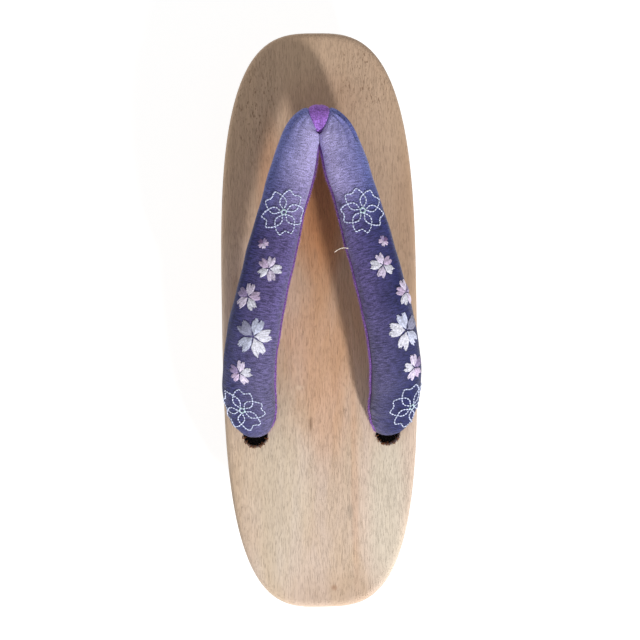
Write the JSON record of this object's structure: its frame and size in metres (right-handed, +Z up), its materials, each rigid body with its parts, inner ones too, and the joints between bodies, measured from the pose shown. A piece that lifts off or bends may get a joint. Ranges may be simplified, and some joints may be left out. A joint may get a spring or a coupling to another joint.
{
  "type": "geta sandal",
  "caption": "Wooden two-toothed geta with a rounded flat deck and a padded cloth V thong embroidered with cherry blossoms.",
  "frame": {"origin": "on the floor, under the middle of the whole sandal", "axes": "+Z up, +Y along the sandal towards the toe, +X to the right seen from above"},
  "size_m": [0.0816, 0.24, 0.0764],
  "materials": {
    "wood": "bare, fine sanded, open pored",
    "crepe": "matt crepe with thread embroidery",
    "velvet": "short velvet pile",
    "twine": "matt twisted cord"
  },
  "bodies": {
    "root": {"deck": "wood", "tooth_front": "wood", "tooth_rear": "wood", "hanao": "crepe", "toe_thong": "velvet", "cord_front": "twine", "cord_rear_left": "twine", "cord_rear_right": "twine"}
  },
  "joints": []
}
